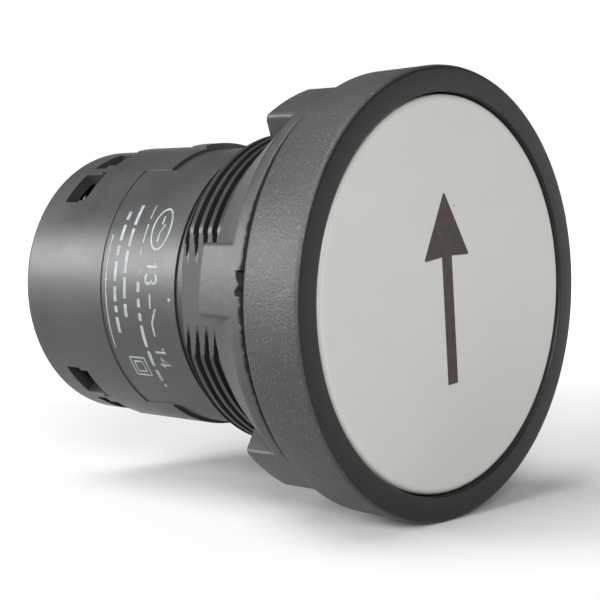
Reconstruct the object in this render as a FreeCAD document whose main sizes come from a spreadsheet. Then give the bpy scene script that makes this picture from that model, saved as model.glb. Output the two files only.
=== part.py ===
"""A 22 mm monoblock push button with a flush arrow cap, as a parametric FreeCAD document.

Frame: millimetres, the button's axis along Y, +Z up. The cap faces -Y and the wiring end faces +Y.
The origin is on the axis, in the plane where the panel gasket meets the panel.
Every sub-part is one PartDesign body whose sketches and features read the spreadsheet, except the
contact tips: each pair of them is a compound of two cylinders that read it too.
"""
import FreeCAD, Part
import math
import os
import Sketcher

DIMENSIONS = {
    # gaps that keep neighbouring solids apart
    "hair_gap": 0.01,
    "thin_gap": 0.02,
    "seam_gap": 0.03,
    "fit_gap": 0.05,
    # bezel and cap
    "bezel_radius": 14.75,
    "bezel_back_radius": 14.6,
    "bezel_depth": 4.6,
    "bezel_rounding": 0.35,
    "bezel_chamfer": 0.25,
    "mouth_chamfer": 0.15,
    "cap_radius": 12.9,
    "cap_clearance": 0.12,
    "cap_thickness": 1.1,
    "cap_recess": 0.05,
    "cap_rounding": 0.5,
    "cap_post_radius": 0.75,
    "cap_post_circle": 5.4,
    "cap_post_length": 1.9,
    # gasket and panel seat
    "gasket_thickness": 0.5,
    "gasket_radius": 13.5,
    "gasket_bore": 10.95,
    # threaded collar
    "flange_radius": 13.6,
    "flange_thickness": 1.0,
    "spigot_radius": 11.1,
    "spigot_length": 1.0,
    "neck_radius": 10.9,
    "thread_crest": 10.85,
    "thread_root": 10.25,
    "thread_pitch": 0.85,
    "thread_end": 9.5,
    "thread_run_out": 0.35,
    "thread_mouth_share": 0.62,
    "thread_floor_share": 0.24,
    "flat_distance": 10.0,
    "seam": 10.12,
    "collar_band_radius": 10.0,
    "guide_bore": 8.05,
    "collar_counterbore": 9.4,
    "stop_shoulder": 5.5,
    "seal_groove_radius": 9.6,
    "seal_depth": 1.2,
    "seal_lip_clearance": 0.04,
    "seal_lip_height": 0.35,
    "seal_lip_length": 0.25,
    # fixing nut
    "nut_front": 0.03,
    "nut_bore": 10.95,
    "nut_relief_radius": 12.0,
    "nut_relief_depth": 1.1,
    "nut_radius": 14.0,
    "nut_edge": 0.15,
    "nut_rim_end": 1.2,
    "nut_hub_radius": 11.5,
    "nut_back": 5.2,
    "lug_count": 6,
    "lug_angle": 19.5,
    "lug_root": 0.2,
    "lug_back": 3.95,
    "lug_slope_width": 1.9,
    "lug_slope_length": 0.4,
    "lug_turn": 5.0,
    "gate_start": 1.2,
    "gate_angle": 6.5,
    "gate_depth": 0.7,
    "gate_length": 0.35,
    # plunger
    "plunger_radius": 8.0,
    "plunger_bore": 7.0,
    "plunger_wall": 1.2,
    "plunger_back": 6.9,
    "plunger_stop_radius": 8.6,
    "plunger_stop_front": 5.6,
    "plunger_stop_chamfer": 0.3,
    "stem_radius": 2.2,
    "stem_back": 11.2,
    "bridge_pin_radius": 0.8,
    "bridge_pin_back": 14.6,
    "bridge_pin_head": 1.25,
    "bridge_pin_chamfer": 0.35,
    # springs
    "return_spring_radius": 3.7,
    "return_spring_wire": 0.6,
    "return_spring_pitch": 1.36,
    "contact_spring_radius": 1.35,
    "contact_spring_wire": 0.3,
    "contact_spring_pitch": 0.62,
    # barrel
    "barrel_front_radius": 9.95,
    "barrel_radius": 10.2,
    "barrel_back_radius": 9.97,
    "barrel_bore": 9.1,
    "barrel_spigot_radius": 9.35,
    "barrel_spigot_bore": 8.75,
    "barrel_spigot_front": 7.55,
    "barrel_step": 14.9,
    "barrel_back_step": 22.4,
    "barrel_back": 26.4,
    "barrel_rounding": 0.4,
    "label_radius": 10.12,
    "label_back": 17.6,
    "label_angle": 110.0,
    "key_radius": 10.4,
    "key_half_width": 2.4,
    "key_front": 15.0,
    "key_back": 16.4,
    "key_root": 0.5,
    "key_crown": 0.25,
    "snap_bead": 9.25,
    "bead_half_width": 0.25,
    # wire windows and terminals
    "window_front": 21.65,
    "window_back": 24.2,
    "window_angle": 17.0,
    "window_inner": 7.5,
    "window_outer": 12.0,
    "post_angle": 5.0,
    "terminal_angle": 57.0,
    "terminal_circle": 6.0,
    "chamber_half_width": 3.1,
    "chamber_inner": 3.2,
    "terminal_half_width": 2.2,
    "terminal_half_length": 2.7,
    "terminal_plate_front": 20.9,
    "terminal_plate_thickness": 0.8,
    "terminal_hole": 1.5,
    "clamp_front": 23.4,
    "clamp_thickness": 0.65,
    "clamp_hole": 1.6,
    "washer_thickness": 0.35,
    "washer_radius": 2.3,
    "washer_gap_half_width": 0.2,
    "washer_gap_reach": 0.3,
    "screw_radius": 1.45,
    "screw_root": 1.2,
    "screw_length": 5.0,
    "screw_point": 0.3,
    "screw_head_radius": 2.5,
    "screw_head_height": 1.15,
    "screw_head_edge": 0.45,
    "screw_slot_width": 0.7,
    "screw_slot_depth": 0.75,
    "screw_slot_share": 0.62,
    "screw_pocket": 1.8,
    "screw_pocket_front": 17.5,
    # contacts
    "strip_thickness": 0.6,
    "strip_front": 16.25,
    "strip_half_width": 1.3,
    "strip_inner": 2.3,
    "strip_outer": 5.0,
    "leg_inner": 3.2,
    "leg_half_width": 1.2,
    "bridge_front": 13.4,
    "bridge_thickness": 0.55,
    "bridge_half_width": 1.3,
    "bridge_half_length": 5.0,
    "bridge_hole": 0.95,
    "tip_offset": 3.9,
    "tip_radius": 0.9,
    "tip_height": 0.5,
    "fixed_tip_radius": 1.0,
    "fixed_tip_height": 0.34,
    # inner mouldings
    "carrier_radius": 9.05,
    "carrier_front": 10.16,
    "carrier_floor": 11.5,
    "carrier_back": 16.2,
    "carrier_guide": 2.3,
    "slot_half_width": 1.7,
    "slot_half_length": 5.6,
    "core_rib": 1.3,
    "core_outer": 7.2,
    "core_half_width": 4.2,
    "block_front": 16.9,
    "block_back": 25.25,
    "pin_room_depth": 1.0,
    "pin_room_clearance": 0.4,
    "cover_front": 25.6,
    "cover_back": 26.3,
    "access_hole": 2.2,
}

document = FreeCAD.newDocument("monoblock_push_button")
sheet = document.addObject("Spreadsheet::Sheet", "Dimensions")
for row, (alias, value) in enumerate(DIMENSIONS.items(), start=1):
    sheet.set(f"A{row}", alias)
    sheet.set(f"B{row}", str(value))
    sheet.setAlias(f"B{row}", alias)
document.recompute()


class Size:
    """A length or an angle: its value now, and the spreadsheet expression that keeps it."""

    def __init__(self, value, text):
        self.value = value
        self.text = text

    def __add__(self, other):
        other = size(other)
        return Size(self.value + other.value, f"({self.text} + {other.text})")

    def __sub__(self, other):
        other = size(other)
        return Size(self.value - other.value, f"({self.text} - {other.text})")

    def __mul__(self, other):
        other = size(other)
        return Size(self.value * other.value, f"({self.text} * {other.text})")

    def __neg__(self):
        return Size(-self.value, f"(0 - {self.text})")


def size(number):
    return number if isinstance(number, Size) else Size(number, f"({number})")


def cosine(angle):
    return Size(math.cos(math.radians(angle.value)), f"cos({angle.text} * 1 deg)")


def sine(angle):
    return Size(math.sin(math.radians(angle.value)), f"sin({angle.text} * 1 deg)")


class Sheet:
    """Each spreadsheet alias as an attribute."""

    def __init__(self):
        for alias, value in DIMENSIONS.items():
            setattr(self, alias, Size(value, f"Dimensions.{alias}"))


d = Sheet()

# places along the axis that follow from the driving dimensions
BEZEL_BACK = -d.gasket_thickness
BEZEL_FRONT = BEZEL_BACK - d.bezel_depth
FLANGE_FRONT = BEZEL_BACK - d.flange_thickness
CAP_FRONT = BEZEL_FRONT + d.cap_recess
CAP_BACK = CAP_FRONT + d.cap_thickness
PLUNGER_FLOOR = CAP_BACK + d.plunger_wall
SEAL_BACK = FLANGE_FRONT + d.seal_depth
BRIDGE_BACK = d.bridge_front + d.bridge_thickness
CLAMP_BACK = d.clamp_front + d.clamp_thickness
SCREW_HEAD_FRONT = CLAMP_BACK + d.washer_thickness
SCREW_HEAD_BACK = SCREW_HEAD_FRONT + d.screw_head_height
BEAD = (d.cover_front + d.cover_back) * 0.5

SMALLEST_CUT_MM3 = 1e-4
SAME_PLACE_MM = 1e-3


# ---------------------------------------------------------------- sketches and features

def new_body(label):
    body = document.addObject("PartDesign::Body", label)
    body.Label = label
    return body


def origin_feature(body, role):
    return next(part for part in body.Origin.OriginFeatures if part.Role == role)


def bind(thing, path, length):
    thing.setExpression(path, length.text)


def new_sketch(body, name, role, level=None):
    """A sketch on one of the body's own planes; level moves a cross-section sketch to that Y."""
    sketch = body.newObject("Sketcher::SketchObject", name)
    sketch.AttachmentSupport = [(origin_feature(body, role), "")]
    sketch.MapMode = "FlatFace"
    if level is not None:
        bind(sketch, "AttachmentOffset.Base.z", -level)
    return sketch


def place_point(sketch, geometry, position, corner):
    """Hold one point of the geometry at its two distances from the sketch's origin."""
    for kind, length in zip(("DistanceX", "DistanceY"), corner):
        constraint = Sketcher.Constraint(kind, -1, 1, geometry, position, length.value)
        index = sketch.addConstraint(constraint)
        bind(sketch, f"Constraints[{index}]", length)


def add_polygon(sketch, corners):
    """A closed polygon with every corner bound to its two expressions."""
    corners = [(size(across), size(along)) for across, along in corners]
    points = [FreeCAD.Vector(across.value, along.value, 0) for across, along in corners]
    first = sketch.GeometryCount
    count = len(points)
    for index, point in enumerate(points):
        sketch.addGeometry(Part.LineSegment(point, points[(index + 1) % count]))
    for index in range(count):
        following = first + (index + 1) % count
        sketch.addConstraint(Sketcher.Constraint("Coincident", first + index, 2, following, 1))
    for index, corner in enumerate(corners):
        place_point(sketch, first + index, 1, corner)


def add_circle(sketch, across, along, radius):
    centre = FreeCAD.Vector(across.value, along.value, 0)
    index = sketch.addGeometry(Part.Circle(centre, FreeCAD.Vector(0, 0, 1), radius.value))
    place_point(sketch, index, 3, (across, along))
    constraint = sketch.addConstraint(Sketcher.Constraint("Radius", index, radius.value))
    bind(sketch, f"Constraints[{constraint}]", radius)


def profile(body, name, corners):
    """A radius and Y outline for a turned shape, in the body's XY plane."""
    sketch = new_sketch(body, name, "XY_Plane")
    add_polygon(sketch, corners)
    return sketch


def section(body, name, level, polygons=(), circles=()):
    """Outlines in X and Z, in a plane square to the axis at Y = level."""
    sketch = new_sketch(body, name, "XZ_Plane", size(level))
    for corners in polygons:
        add_polygon(sketch, corners)
    for across, along, radius in circles:
        add_circle(sketch, size(across), size(along), size(radius))
    return sketch


def feature(body, kind, name, sketch):
    made = body.newObject("PartDesign::" + kind, name)
    made.Profile = sketch
    sketch.Visibility = False
    return made


def turn(body, kind, name, corners, angle=None):
    """A Revolution or Groove of the outline about the Y axis."""
    sketch = profile(body, name + "_profile", corners)
    made = feature(body, kind, name, sketch)
    made.ReferenceAxis = (sketch, ["V_Axis"])
    if angle is not None:
        bind(made, "Angle", angle)
    return made


def pad(body, name, sketch, length):
    """Material from the sketch towards the wiring end."""
    made = feature(body, "Pad", name, sketch)
    made.Reversed = True
    bind(made, "Length", size(length))
    return made


def pocket(body, name, sketch, length):
    """A cut from the sketch towards the wiring end, which must remove something."""
    before = body.Tip
    document.recompute()
    volume = before.Shape.Volume
    made = feature(body, "Pocket", name, sketch)
    made.Reversed = False
    bind(made, "Length", size(length))
    document.recompute()
    if made.Shape.Volume > volume - SMALLEST_CUT_MM3:
        raise ValueError(f"{body.Label}: {name} cuts nothing")
    return made


def around_axis(body, name, made, count):
    """Copies of a feature, spaced evenly around the Y axis."""
    pattern = body.newObject("PartDesign::PolarPattern", name)
    pattern.Originals = [made]
    pattern.Axis = (origin_feature(body, "Y_Axis"), [""])
    pattern.Angle = 360
    bind(pattern, "Occurrences", size(count))
    body.Tip = pattern
    return pattern


def coil(body, name, radius, wire, pitch, front, back):
    """A round-wire helix about the Y axis between two places on it."""
    sketch = new_sketch(body, name + "_wire", "XY_Plane")
    half = wire * 0.5
    add_circle(sketch, radius, front + half, half)
    made = feature(body, "AdditiveHelix", name, sketch)
    made.ReferenceAxis = (sketch, ["V_Axis"])
    made.Mode = "pitch-height-angle"
    bind(made, "Pitch", pitch)
    bind(made, "Height", back - front - wire)
    return made


def circles_at(shape, radius, level):
    """Names of the whole circular edges about the axis with this radius, at this Y."""
    names = []
    for index, edge in enumerate(shape.Edges, start=1):
        curve = edge.Curve
        if not isinstance(curve, Part.Circle) or abs(curve.Radius - radius.value) > SAME_PLACE_MM:
            continue
        off_axis = math.hypot(curve.Center.x, curve.Center.z)
        if max(abs(curve.Center.y - level.value), off_axis) < SAME_PLACE_MM:
            names.append(f"Edge{index}")
    return names


def soften(body, kind, name, rings, amount):
    """Fillet or Chamfer the circular edges in rings, a list of (radius, Y)."""
    document.recompute()
    base = body.Tip
    made = body.newObject("PartDesign::" + kind, name)
    edges = [edge for radius, level in rings for edge in circles_at(base.Shape, size(radius), size(level))]
    made.Base = (base, edges)
    bind(made, "Radius" if kind == "Fillet" else "Size", size(amount))
    return made


def spoke(angle, out, across):
    """X and Z of a point out along a spoke at an angle above -X, and across it towards +Z."""
    x = -(cosine(angle) * out) + sine(angle) * across
    z = sine(angle) * out + cosine(angle) * across
    return x, z


def spoke_rectangle(angle, inner, outer, half_width):
    corners = [(inner, -half_width), (outer, -half_width), (outer, half_width), (inner, half_width)]
    return [spoke(angle, size(out), across) for out, across in corners]


def sector(first, last, inner, outer):
    """A wedge between two angles above -X, with straight inner and outer sides."""
    ends = [(first, inner), (first, outer), (last, outer), (last, inner)]
    return [spoke(angle, size(out), size(0)) for angle, out in ends]


def rectangle(low_x, high_x, low_z, high_z):
    return [(low_x, low_z), (high_x, low_z), (high_x, high_z), (low_x, high_z)]


# ---------------------------------------------------------------- head

def bezel():
    body = new_body("bezel")
    bore = d.cap_radius + d.cap_clearance
    pocket_radius = d.flange_radius + d.thin_gap
    turn(body, "Revolution", "ring", [
        (bore, BEZEL_FRONT),
        (d.bezel_radius, BEZEL_FRONT),
        (d.bezel_back_radius, BEZEL_BACK - d.bezel_chamfer),
        (d.bezel_back_radius - d.bezel_chamfer, BEZEL_BACK),
        (pocket_radius, BEZEL_BACK),
        (pocket_radius, FLANGE_FRONT - d.hair_gap),
        (bore, FLANGE_FRONT - d.hair_gap),
    ])
    soften(body, "Fillet", "front_round", [(d.bezel_radius, BEZEL_FRONT)], d.bezel_rounding)
    soften(body, "Chamfer", "mouth_chamfer", [(bore, BEZEL_FRONT)], d.mouth_chamfer)


def button_cap():
    body = new_body("button_cap")
    turn(body, "Revolution", "disc", [
        (0, CAP_FRONT),
        (d.cap_radius, CAP_FRONT),
        (d.cap_radius, CAP_BACK),
        (0, CAP_BACK),
    ])
    soften(body, "Fillet", "face_round", [(d.cap_radius, CAP_FRONT)], d.cap_rounding)
    stake = section(body, "stake_section", CAP_BACK, circles=[(0, d.cap_post_circle, d.cap_post_radius)])
    around_axis(body, "stakes", pad(body, "stake", stake, d.cap_post_length), 3)


def plunger():
    body = new_body("plunger")
    turn(body, "Revolution", "cup_and_stem", [
        (0, CAP_BACK),
        (d.plunger_radius, CAP_BACK),
        (d.plunger_radius, d.plunger_stop_front),
        (d.plunger_stop_radius, d.plunger_stop_front),
        (d.plunger_stop_radius, d.plunger_back - d.plunger_stop_chamfer),
        (d.plunger_stop_radius - d.plunger_stop_chamfer, d.plunger_back),
        (d.plunger_bore, d.plunger_back),
        (d.plunger_bore, PLUNGER_FLOOR),
        (d.stem_radius, PLUNGER_FLOOR),
        (d.stem_radius, d.stem_back),
        (d.bridge_pin_radius, d.stem_back),
        (d.bridge_pin_radius, BRIDGE_BACK + d.seam_gap),
        (d.bridge_pin_head, BRIDGE_BACK + d.seam_gap),
        (d.bridge_pin_head, d.bridge_pin_back - d.bridge_pin_chamfer),
        (d.bridge_pin_head - d.bridge_pin_chamfer, d.bridge_pin_back),
        (0, d.bridge_pin_back),
    ])
    hole = section(body, "stake_hole_section", CAP_BACK,
                   circles=[(0, d.cap_post_circle, d.cap_post_radius + d.fit_gap)])
    around_axis(body, "stake_holes", pocket(body, "stake_hole", hole, d.plunger_wall), 3)


def lip_seal():
    body = new_body("lip_seal")
    outer = d.seal_groove_radius - d.thin_gap
    lip = d.plunger_radius + d.seal_lip_clearance
    waist = lip + d.seal_lip_height
    front = FLANGE_FRONT + d.fit_gap
    back = SEAL_BACK - d.thin_gap
    turn(body, "Revolution", "ring", [
        (outer, front),
        (outer, back),
        (waist, back),
        (lip, back - d.seal_lip_length),
        (waist, back - d.seal_lip_length * 2),
        (waist, front + d.seal_lip_length * 2),
        (lip, front + d.seal_lip_length),
        (waist, front),
    ])


def panel_gasket():
    body = new_body("panel_gasket")
    turn(body, "Revolution", "ring", [
        (d.gasket_bore, BEZEL_BACK),
        (d.gasket_radius, BEZEL_BACK),
        (d.gasket_radius, 0),
        (d.gasket_bore, 0),
    ])


# ---------------------------------------------------------------- collar and nut

def threaded_collar():
    body = new_body("threaded_collar")
    turn(body, "Revolution", "tube", [
        (d.seal_groove_radius, FLANGE_FRONT),
        (d.flange_radius, FLANGE_FRONT),
        (d.flange_radius, BEZEL_BACK),
        (d.neck_radius, BEZEL_BACK),
        (d.neck_radius, 0),
        (d.spigot_radius, 0),
        (d.spigot_radius, d.spigot_length),
        (d.thread_crest, d.spigot_length),
        (d.thread_crest, d.thread_end - d.thread_run_out),
        (d.collar_band_radius, d.thread_end),
        (d.collar_band_radius, d.seam),
        (d.collar_counterbore, d.seam),
        (d.collar_counterbore, d.stop_shoulder),
        (d.guide_bore, d.stop_shoulder),
        (d.guide_bore, SEAL_BACK),
        (d.seal_groove_radius, SEAL_BACK),
    ])
    cut_thread(body)
    reach = d.bezel_radius
    flats = [
        rectangle(-reach, -d.flat_distance, -reach, reach),
        rectangle(d.flat_distance, reach, -reach, reach),
    ]
    level = d.spigot_length
    pocket(body, "flats", section(body, "flats_section", level, flats), d.thread_end - level)


def cut_thread(body):
    """The helical groove: a flat-bottomed V that starts behind the spigot and runs out at the end."""
    start = d.spigot_length + d.thread_pitch * 0.5
    outside = d.thread_crest + d.fit_gap
    half_mouth = d.thread_pitch * d.thread_mouth_share * 0.5
    half_root = d.thread_pitch * d.thread_floor_share * 0.5
    sketch = profile(body, "thread_profile", [
        (outside, start - half_mouth),
        (outside, start + half_mouth),
        (d.thread_root, start + half_root),
        (d.thread_root, start - half_root),
    ])
    groove = feature(body, "SubtractiveHelix", "thread", sketch)
    groove.ReferenceAxis = (sketch, ["V_Axis"])
    groove.Mode = "pitch-height-angle"
    bind(groove, "Pitch", d.thread_pitch)
    bind(groove, "Height", d.thread_end - start + d.thread_pitch * 0.5)


def fixing_nut():
    body = new_body("fixing_nut")
    turn(body, "Revolution", "hub", [
        (d.nut_relief_radius, d.nut_front),
        (d.nut_radius - d.nut_edge, d.nut_front),
        (d.nut_radius, d.nut_front + d.nut_edge),
        (d.nut_radius, d.nut_rim_end),
        (d.nut_hub_radius, d.nut_back),
        (d.nut_bore, d.nut_back),
        (d.nut_bore, d.nut_relief_depth),
        (d.nut_relief_radius, d.nut_relief_depth),
    ])
    lug_front = d.nut_rim_end - d.lug_root
    slope_back = d.lug_back + d.lug_slope_length
    lug = turn(body, "Revolution", "lug", [
        (d.nut_relief_radius, lug_front),
        (d.nut_radius, lug_front),
        (d.nut_radius, d.lug_back),
        (d.nut_radius - d.lug_slope_width, slope_back),
        (d.nut_relief_radius, slope_back),
    ], d.lug_angle)
    around_axis(body, "lugs", lug, d.lug_count)
    nut_turn = d.lug_turn - d.lug_angle * 0.5
    start = d.gate_start - nut_turn
    gate_outline = sector(start, start + d.gate_angle, d.nut_radius - d.gate_depth, d.nut_radius + 1)
    gate = section(body, "gate_section", d.nut_front, [gate_outline])
    pocket(body, "gate_mark", gate, d.gate_length)
    turn_about_axis(body, nut_turn)


def turn_about_axis(body, angle):
    """Turn the whole body about Y, from -X towards +Z when the angle is positive."""
    body.Placement = FreeCAD.Placement(FreeCAD.Vector(), FreeCAD.Rotation(FreeCAD.Vector(0, 1, 0), 0))
    bind(body, "Placement.Rotation.Angle", angle)


# ---------------------------------------------------------------- springs

def return_spring():
    coil(new_body("return_spring"), "helix", d.return_spring_radius, d.return_spring_wire,
         d.return_spring_pitch, PLUNGER_FLOOR + d.thin_gap, d.carrier_front - d.thin_gap)


def contact_spring():
    coil(new_body("contact_spring"), "helix", d.contact_spring_radius, d.contact_spring_wire,
         d.contact_spring_pitch, d.stem_back + d.thin_gap, d.bridge_front - d.thin_gap)


# ---------------------------------------------------------------- barrel and cover

def barrel_housing():
    body = new_body("barrel_housing")
    groove_half_width = d.bead_half_width + d.fit_gap
    floor = d.carrier_front - d.hair_gap
    turn(body, "Revolution", "shell", [
        (d.barrel_spigot_bore, d.barrel_spigot_front),
        (d.barrel_spigot_radius, d.barrel_spigot_front),
        (d.barrel_spigot_radius, d.seam + d.seam_gap),
        (d.barrel_front_radius, d.seam + d.seam_gap),
        (d.barrel_front_radius, d.barrel_step),
        (d.barrel_radius, d.barrel_step),
        (d.barrel_radius, d.barrel_back_step),
        (d.barrel_back_radius, d.barrel_back_step),
        (d.barrel_back_radius, d.barrel_back),
        (d.barrel_bore, d.barrel_back),
        (d.barrel_bore, BEAD + groove_half_width),
        (d.snap_bead + d.fit_gap, BEAD),
        (d.barrel_bore, BEAD - groove_half_width),
        (d.barrel_bore, floor),
        (d.barrel_spigot_bore, floor),
    ])
    soften(body, "Fillet", "back_round", [(d.barrel_back_radius, d.barrel_back)], d.barrel_rounding)
    label_patch(body)
    locating_key(body)
    wire_windows(body)


def label_patch(body):
    """The smooth patch for the print: raised from the front band, and sunk a little behind the step."""
    root = d.barrel_bore + d.key_root
    outside = d.barrel_radius + d.fit_gap
    patch = turn(body, "Revolution", "label_patch", [
        (-root, d.seam + d.seam_gap),
        (-d.label_radius, d.seam + d.seam_gap),
        (-d.label_radius, d.barrel_step),
        (-root, d.barrel_step),
    ], d.label_angle)
    recess = turn(body, "Groove", "label_recess", [
        (-d.label_radius, d.barrel_step),
        (-outside, d.barrel_step),
        (-outside, d.label_back),
        (-d.label_radius, d.label_back),
    ], d.label_angle)
    patch.Midplane = recess.Midplane = True


def locating_key(body):
    """A short raised key on top of the barrel."""
    root = d.barrel_bore + d.key_root
    shoulder = d.key_radius - d.key_crown
    outline = [
        (-d.key_half_width, root),
        (d.key_half_width, root),
        (d.key_half_width, shoulder),
        (size(0), d.key_radius),
        (-d.key_half_width, shoulder),
    ]
    pad(body, "key", section(body, "key_section", d.key_front, [outline]), d.key_back - d.key_front)


def wire_windows(body):
    """Two wire windows beside a post, for each terminal."""
    half_post = d.post_angle * 0.5
    far = half_post + d.window_angle
    for word, direction in (("upper", 1), ("lower", -1)):
        middle = d.terminal_angle * direction
        for side, way in (("outer", 1), ("inner", -1)):
            outline = sector(middle + half_post * way, middle + far * way, d.window_inner, d.window_outer)
            sketch = section(body, f"{word}_{side}_window_section", d.window_front, [outline])
            pocket(body, f"{word}_{side}_window", sketch, d.window_back - d.window_front)


def rear_cover():
    body = new_body("rear_cover")
    turn(body, "Revolution", "disc", [
        (0, d.cover_front),
        (d.carrier_radius, d.cover_front),
        (d.carrier_radius, BEAD - d.bead_half_width),
        (d.snap_bead, BEAD),
        (d.carrier_radius, BEAD + d.bead_half_width),
        (d.carrier_radius, d.cover_back),
        (0, d.cover_back),
    ])
    holes = [spoke(angle, d.terminal_circle, size(0)) + (d.access_hole,) for angle in terminal_angles()]
    sketch = section(body, "access_section", d.cover_front, circles=holes)
    pocket(body, "screwdriver_holes", sketch, d.cover_back - d.cover_front)


def terminal_angles():
    return [d.terminal_angle, -d.terminal_angle]


# ---------------------------------------------------------------- inner mouldings

def contact_carrier():
    body = new_body("contact_carrier")
    turn(body, "Revolution", "block", [
        (d.carrier_guide, d.carrier_front),
        (d.carrier_radius, d.carrier_front),
        (d.carrier_radius, d.carrier_back),
        (d.carrier_guide, d.carrier_back),
    ])
    half_slot, half_core = d.slot_half_width, d.core_half_width
    core_inner = half_slot + d.core_rib
    chamber = rectangle(-half_slot, half_slot, -d.slot_half_length, d.slot_half_length)
    cores = [
        rectangle(core_inner, d.core_outer, -half_core, half_core),
        rectangle(-d.core_outer, -core_inner, -half_core, half_core),
    ]
    depth = d.carrier_back - d.carrier_floor
    pocket(body, "bridge_slot", section(body, "slot_section", d.carrier_floor, [chamber]), depth)
    pocket(body, "core_outs", section(body, "core_section", d.carrier_floor, cores), depth)


def terminal_block():
    body = new_body("terminal_block")
    turn(body, "Revolution", "block", [
        (0, d.block_front),
        (d.carrier_radius, d.block_front),
        (d.carrier_radius, d.block_back),
        (0, d.block_back),
    ])
    floor = d.terminal_plate_front - d.thin_gap
    for word, angle in zip(("upper", "lower"), terminal_angles()):
        chamber = spoke_rectangle(angle, d.chamber_inner, d.window_outer, d.chamber_half_width)
        pocket(body, f"{word}_chamber", section(body, f"{word}_chamber_section", floor, [chamber]),
               d.block_back - floor)
        well = spoke(angle, d.terminal_circle, size(0)) + (d.screw_pocket,)
        level = d.screw_pocket_front
        pocket(body, f"{word}_well", section(body, f"{word}_well_section", level, circles=[well]),
               floor - level)
        slot = spoke_rectangle(angle, d.leg_inner, d.leg_inner + d.strip_thickness + d.fit_gap,
                               d.leg_half_width + d.fit_gap)
        pocket(body, f"{word}_leg_slot", section(body, f"{word}_leg_slot_section", d.block_front, [slot]),
               floor - d.block_front)
    room = [(0, 0, d.bridge_pin_head + d.pin_room_clearance)]
    pocket(body, "pin_room", section(body, "pin_section", d.block_front, circles=room), d.pin_room_depth)


# ---------------------------------------------------------------- contacts

def contact_bridge():
    body = new_body("contact_bridge")
    half_width, half_length = d.bridge_half_width, d.bridge_half_length
    bar = rectangle(-half_width, half_width, -half_length, half_length)
    sketch = section(body, "bar_section", d.bridge_front, [bar], [(0, 0, d.bridge_hole)])
    pad(body, "bar", sketch, d.bridge_thickness)


def contact_tips(label, radius, front, height):
    """Two silver rivets, one at each end of the bridge."""
    body = document.addObject("Part::Compound", label)
    body.Label = label
    tips = []
    for word, direction in (("upper", 1), ("lower", -1)):
        tip = document.addObject("Part::Cylinder", f"{label}_{word}")
        bind(tip, "Radius", radius)
        bind(tip, "Height", height)
        tip.Placement = FreeCAD.Placement(FreeCAD.Vector(), FreeCAD.Rotation(FreeCAD.Vector(1, 0, 0), -90))
        bind(tip, "Placement.Base.y", front)
        bind(tip, "Placement.Base.z", d.tip_offset * direction)
        tips.append(tip)
    body.Links = tips


def fixed_contact(label, angle, direction):
    """The stationary strip: a pad under the bridge, a leg through the block, and the terminal plate."""
    body = new_body(label)
    pad_low = d.strip_inner * direction
    pad_high = d.strip_outer * direction
    foot = rectangle(-d.strip_half_width, d.strip_half_width, pad_low, pad_high)
    pad(body, "foot", section(body, "foot_section", d.strip_front, [foot]), d.strip_thickness)
    leg_outline = spoke_rectangle(angle, d.leg_inner, d.leg_inner + d.strip_thickness, d.leg_half_width)
    leg = section(body, "leg_section", d.strip_front, [leg_outline])
    plate_back = d.terminal_plate_front + d.terminal_plate_thickness
    pad(body, "leg", leg, plate_back - d.strip_front)
    plate_outline = spoke_rectangle(
        angle, d.leg_inner, d.terminal_circle + d.terminal_half_length, d.terminal_half_width)
    plate = section(body, "plate_section", d.terminal_plate_front, [plate_outline])
    pad(body, "plate", plate, d.terminal_plate_thickness)
    hole = spoke(angle, d.terminal_circle, size(0)) + (d.terminal_hole,)
    pocket(body, "screw_hole", section(body, "hole_section", d.terminal_plate_front, circles=[hole]),
           d.terminal_plate_thickness)


# ---------------------------------------------------------------- terminals

def terminal_clamp(label, angle):
    """The wire clamp: a square washer that the chamber's walls keep from turning."""
    body = new_body(label)
    inner = d.terminal_circle - d.terminal_half_length
    outer = d.terminal_circle + d.terminal_half_length
    outline = spoke_rectangle(angle, inner, outer, d.terminal_half_width)
    hole = spoke(angle, d.terminal_circle, size(0)) + (d.clamp_hole,)
    plate = section(body, "plate_section", d.clamp_front, [outline], [hole])
    pad(body, "plate", plate, d.clamp_thickness)


def spring_washer(label, angle):
    body = new_body(label)
    x, z = spoke(angle, d.terminal_circle, size(0))
    ring = section(body, "ring_section", CLAMP_BACK, circles=[(x, z, d.washer_radius), (x, z, d.clamp_hole)])
    pad(body, "ring", ring, d.washer_thickness)
    gap_inner = d.terminal_circle + d.clamp_hole - d.washer_gap_reach
    gap_outer = d.terminal_circle + d.washer_radius + d.washer_gap_reach
    gap = spoke_rectangle(angle, gap_inner, gap_outer, d.washer_gap_half_width)
    pocket(body, "gap", section(body, "gap_section", CLAMP_BACK, [gap]), d.washer_thickness)


def terminal_screw(label, angle):
    """A pan-head machine screw with a cross recess, turned on its own axis and then set in place."""
    body = new_body(label)
    tip = SCREW_HEAD_FRONT - d.screw_length
    turn(body, "Revolution", "blank", [
        (0, tip),
        (d.screw_root, tip),
        (d.screw_radius, tip + d.screw_point),
        (d.screw_radius, SCREW_HEAD_FRONT),
        (d.screw_head_radius, SCREW_HEAD_FRONT),
        (d.screw_head_radius, SCREW_HEAD_BACK - d.screw_head_edge),
        (d.screw_head_radius - d.screw_head_edge, SCREW_HEAD_BACK),
        (0, SCREW_HEAD_BACK),
    ])
    half = d.screw_slot_width * 0.5
    arm = d.screw_head_radius * d.screw_slot_share
    level = SCREW_HEAD_BACK - d.screw_slot_depth
    for word, across, along in (("first", arm, half), ("second", half, arm)):
        outline = rectangle(-across, across, -along, along)
        pocket(body, f"{word}_slot", section(body, f"{word}_slot_section", level, [outline]),
               d.screw_slot_depth)
    x, z = spoke(angle, d.terminal_circle, size(0))
    bind(body, "Placement.Base.x", x)
    bind(body, "Placement.Base.z", z)


# ---------------------------------------------------------------- assembly and export

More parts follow.
